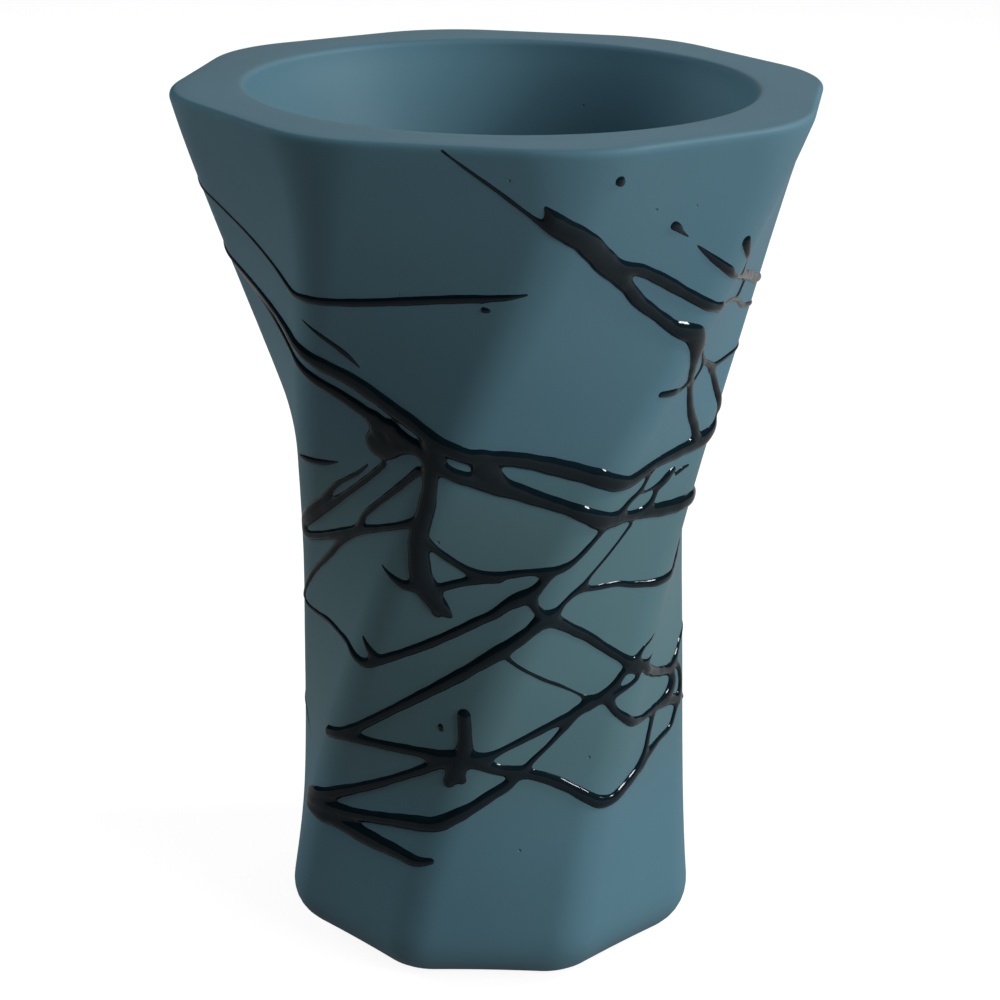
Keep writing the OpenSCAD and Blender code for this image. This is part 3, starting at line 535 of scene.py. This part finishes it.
def linear(hex_colour):
    """An sRGB hex colour as linear RGBA."""
    parts = [int(hex_colour[i:i + 2], 16) / 255 for i in (1, 3, 5)]
    return [c / 12.92 if c <= 0.04045 else ((c + 0.055) / 1.055) ** 2.4 for c in parts] + [1]


def add(tree, kind, settings=(), links=()):
    """Adds a shader node, sets its values and links its inputs."""
    node = tree.nodes.new(kind)
    for key, value in dict(settings).items():
        if isinstance(key, int) or key in node.inputs:
            node.inputs[key].default_value = value
        else:
            setattr(node, key, value)
    for key, output in dict(links).items():
        tree.links.new(output, node.inputs[key])
    return node


def new_material(name):
    material = bpy.data.materials.new(name)
    material.use_nodes = True
    tree = material.node_tree
    tree.nodes.clear()
    return material, tree


def cast_ceramic():
    """Cast stoneware, pigmented through and left unglazed: a dry, even matt skin with a few pinholes, and a
    painted sheen around the waist.
    """
    material, tree = new_material("pigmented_cast_stoneware")
    place = add(tree, "ShaderNodeTexCoord").outputs["Object"]
    # Soft clouds of pigment, about 22 mm across
    clouds = add(tree, "ShaderNodeTexNoise", {"Scale": 1 / (22 * MM), "Detail": 2.0}, {"Vector": place})
    # Dry grain of the cast skin, about half a millimetre
    grain = add(tree, "ShaderNodeTexNoise", {"Scale": 1 / (0.5 * MM), "Detail": 3.0}, {"Vector": place})
    # Pinholes half a millimetre wide, one to a cell of 7 mm
    cells = add(tree, "ShaderNodeTexVoronoi", {"Scale": 1 / (7 * MM)}, {"Vector": place})
    pits = add(
        tree, "ShaderNodeMapRange", {"From Min": 0.015, "From Max": 0.036},
        {"Value": cells.outputs["Distance"]},
    )
    tone = add(
        tree, "ShaderNodeMix", {"data_type": "RGBA", 6: linear("#4c7080"), 7: linear("#547b8a")},
        {0: clouds.outputs["Fac"]},
    )
    # Painted sheen: around the waist, where the trails lie thick, the skin is made a little less blue and
    # greyer, standing in for the reflection of the warm floor
    height = add(tree, "ShaderNodeSeparateXYZ", (), {"Vector": place}).outputs["Z"]
    sheen_low_edge = add(
        tree, "ShaderNodeMapRange",
        {"interpolation_type": "SMOOTHSTEP", "From Min": 20 * MM, "From Max": 34 * MM}, {"Value": height},
    )
    clear = add(
        tree, "ShaderNodeMapRange",
        {"interpolation_type": "SMOOTHSTEP", "From Min": 82 * MM, "From Max": 66 * MM}, {"Value": height},
    )
    painted_sheen = add(
        tree, "ShaderNodeMath", {"operation": "MULTIPLY"},
        {0: sheen_low_edge.outputs["Result"], 1: clear.outputs["Result"]},
    )
    tone_with_sheen = add(
        tree, "ShaderNodeMix", {"data_type": "RGBA", "blend_type": "MULTIPLY", 7: (1.0, 0.91, 0.81, 1)},
        {0: painted_sheen.outputs["Value"], 6: tone.outputs[2]},
    )
    bump = add(
        tree, "ShaderNodeBump", {"Strength": 0.12, "Distance": 0.1 * MM}, {"Height": grain.outputs["Fac"]},
    )
    holes = add(
        tree, "ShaderNodeBump", {"Strength": 0.8, "Distance": 0.25 * MM},
        {"Height": pits.outputs["Result"], "Normal": bump.outputs["Normal"]},
    )
    skin = add(
        tree, "ShaderNodeBsdfPrincipled", {"Roughness": 0.55, "IOR": 1.45},
        {"Base Color": tone_with_sheen.outputs[2], "Normal": holes.outputs["Normal"]},
    )
    add(tree, "ShaderNodeOutputMaterial", (), {"Surface": skin.outputs["BSDF"]})
    return material


def black_enamel():
    """Black enamel that was trailed on and ran smooth: deep gloss with a slight ripple."""
    material, tree = new_material("trailed_black_enamel")
    place = add(tree, "ShaderNodeTexCoord").outputs["Object"]
    # Ripple of the set surface, about 2 mm from crest to crest
    ripple = add(tree, "ShaderNodeTexNoise", {"Scale": 1 / (2 * MM), "Detail": 1.0}, {"Vector": place})
    bump = add(
        tree, "ShaderNodeBump", {"Strength": 0.13, "Distance": 0.1 * MM}, {"Height": ripple.outputs["Fac"]},
    )
    tone = add(
        tree, "ShaderNodeMix", {"data_type": "RGBA", 6: linear("#0b1920"), 7: linear("#121f26")},
        {0: ripple.outputs["Fac"]},
    )
    skin = add(
        tree, "ShaderNodeBsdfPrincipled", {"Roughness": 0.08, "IOR": 1.5, "Specular IOR Level": 0.2},
        {"Base Color": tone.outputs[2], "Normal": bump.outputs["Normal"]},
    )
    add(tree, "ShaderNodeOutputMaterial", (), {"Surface": skin.outputs["BSDF"]})
    return material


def pale_floor():
    """White paper under the vase: seen as white, with the vase's shadow left on it."""
    material, tree = new_material("white_paper")
    paper = add(tree, "ShaderNodeBsdfDiffuse", {"Color": linear("#8c8c8a")})
    ray = add(tree, "ShaderNodeLightPath")
    # Painted reflection: in the gloss the paper glows, paler towards the light on the right
    place = add(tree, "ShaderNodeTexCoord").outputs["Object"]
    across = add(tree, "ShaderNodeSeparateXYZ", (), {"Vector": place})
    gleam = add(
        tree, "ShaderNodeMapRange", {"From Min": -0.05, "From Max": 0.12, "To Min": 0.1, "To Max": 0.24},
        {"Value": across.outputs["X"]},
    )
    shine = add(
        tree, "ShaderNodeMath", {"operation": "MULTIPLY"},
        {0: ray.outputs["Is Glossy Ray"], 1: gleam.outputs["Result"]},
    )
    level = add(
        tree, "ShaderNodeMath", {"operation": "MULTIPLY_ADD", 1: 0.9},
        {0: ray.outputs["Is Camera Ray"], 2: shine.outputs[0]},
    )
    white = add(tree, "ShaderNodeEmission", {"Color": linear("#ffffff")}, {"Strength": level.outputs[0]})
    both = add(tree, "ShaderNodeAddShader", (), {0: paper.outputs["BSDF"], 1: white.outputs["Emission"]})
    add(tree, "ShaderNodeOutputMaterial", (), {"Surface": both.outputs["Shader"]})
    return material


def lay_floor():
    bm = bmesh.new()
    bmesh.ops.create_grid(bm, x_segments=1, y_segments=1, size=4)
    mesh = bpy.data.meshes.new("floor")
    bm.to_mesh(mesh)
    bm.free()
    mesh.materials.append(pale_floor())
    floor = bpy.data.objects.new("floor", mesh)
    bpy.context.scene.collection.objects.link(floor)


def add_light(name, bearing, height, size, watts, in_gloss):
    """A square light that looks at the middle of the vase; its bearing counts from the front."""
    lamp = bpy.data.lights.new(name, "AREA")
    lamp.size = size
    lamp.energy = watts
    obj = bpy.data.objects.new(name, lamp)
    a, e = math.radians(bearing - 90), math.radians(height)
    aim = Vector((0, 0, BODY_H / 2 * MM))
    towards = Vector((math.cos(a) * math.cos(e), math.sin(a) * math.cos(e), math.sin(e)))
    obj.location = aim + LIGHT_DISTANCE * towards
    obj.rotation_euler = (aim - obj.location).to_track_quat("-Z", "Y").to_euler()
    obj.visible_glossy = in_gloss
    bpy.context.scene.collection.objects.link(obj)


def set_light():
    # Bearing and height in degrees, size in metres, watts; broad fill lights don't mirror in the enamel
    add_light("fill_right", 58, 19, 0.5, 5.6, False)
    add_light("lamp_right", 92, 36, 0.14, 3.0, True)
    add_light("back_right", 140, 35, 0.4, 0.8, True)
    add_light("fill_left", -113, 20, 0.4, 3.8, False)
    add_light("back", 180, 25, 0.4, 0.36, True)
    add_light("fill_front", -20, 25, 0.5, 0.36, False)
    add_light("fill_top", 40, 74, 0.5, 0.9, False)
    world = bpy.data.worlds.new("room")
    world.use_nodes = True
    tree = world.node_tree
    tree.nodes.clear()
    ray = add(tree, "ShaderNodeLightPath")
    air = add(
        tree, "ShaderNodeBackground", {"Color": linear("#ffffff")},
        {"Strength": ray.outputs["Is Camera Ray"]},
    )
    add(tree, "ShaderNodeOutputWorld", (), {"Surface": air.outputs["Background"]})
    bpy.context.scene.world = world


# The photograph's camera: its place, where it looks and how far it is tipped, in metres and radians
CAMERA_EYE = (0, -0.327289, 0.180004)
CAMERA_PITCH = 0.34815
CAMERA_YAW = 0.00196
CAMERA_ROLL = 0.01525
CAMERA_LENS = 89.368
CAMERA_FILM = 36


def set_camera():
    data = bpy.data.cameras.new("camera")
    data.sensor_fit = "HORIZONTAL"
    data.sensor_width = CAMERA_FILM
    data.lens = CAMERA_LENS
    data.clip_start = 0.01
    level = math.cos(CAMERA_PITCH)
    ahead = Vector((math.sin(CAMERA_YAW) * level, math.cos(CAMERA_YAW) * level, -math.sin(CAMERA_PITCH)))
    side = ahead.cross(Vector((0, 0, 1))).normalized()
    up = side.cross(ahead)
    right = side * math.cos(CAMERA_ROLL) + up * math.sin(CAMERA_ROLL)
    top = up * math.cos(CAMERA_ROLL) - side * math.sin(CAMERA_ROLL)
    camera = bpy.data.objects.new("camera", data)
    camera.matrix_world = Matrix.Translation(CAMERA_EYE) @ Matrix((right, top, -ahead)).transposed().to_4x4()
    bpy.context.scene.collection.objects.link(camera)
    bpy.context.scene.camera = camera


cast_body(cast_ceramic())
enamel = black_enamel()
net = enamel_net()
for order, name in enumerate(TRAILS):
    lay_trail(name, order, net, enamel)
lay_floor()
set_light()
set_camera()
bpy.context.scene.view_settings.view_transform = "Standard"
